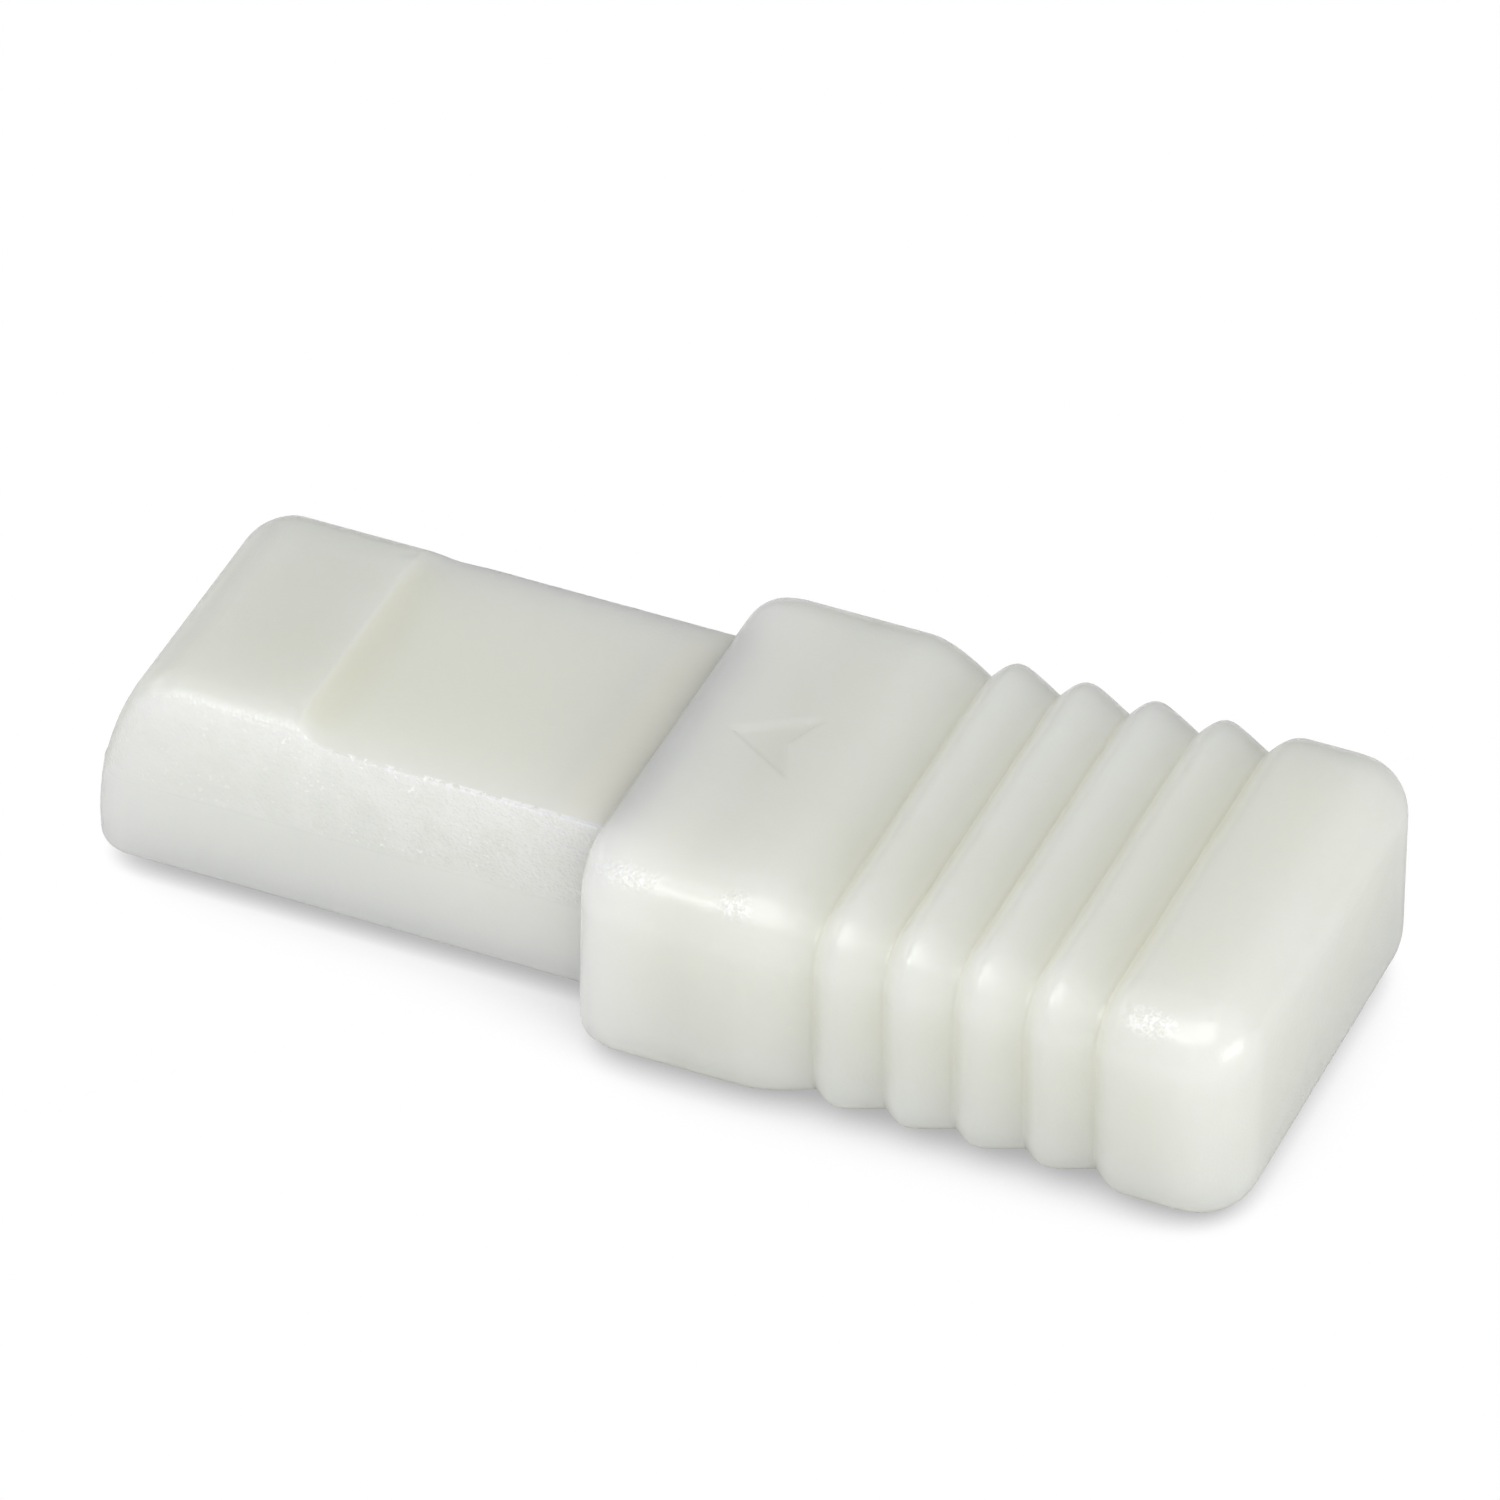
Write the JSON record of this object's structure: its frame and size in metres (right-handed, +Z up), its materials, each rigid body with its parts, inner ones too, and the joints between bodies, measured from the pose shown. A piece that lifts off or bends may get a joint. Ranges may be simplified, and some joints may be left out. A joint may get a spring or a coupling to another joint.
{
  "type": "ribbed moulded plug",
  "caption": "Small milky moulded plug with a stepped rectangular tongue, a larger collar and a ribbed pull grip.",
  "frame": {"origin": "centre of the bounding box in plan, at the level the plug rests on", "axes": "+X from the tongue tip to the grip end, +Y across the plug, +Z up through the face with the step and the arrowhead"},
  "size_m": [0.043, 0.0174, 0.0087],
  "materials": {
    "tongue_polymer": "milky translucent natural polymer, satin below the parting line and glossier with fine specks above it",
    "grip_polymer": "milky translucent soft polymer, fine satin mould texture"
  },
  "bodies": {
    "root": {"tongue": "tongue_polymer", "ribbed_grip": "grip_polymer"}
  },
  "joints": []
}
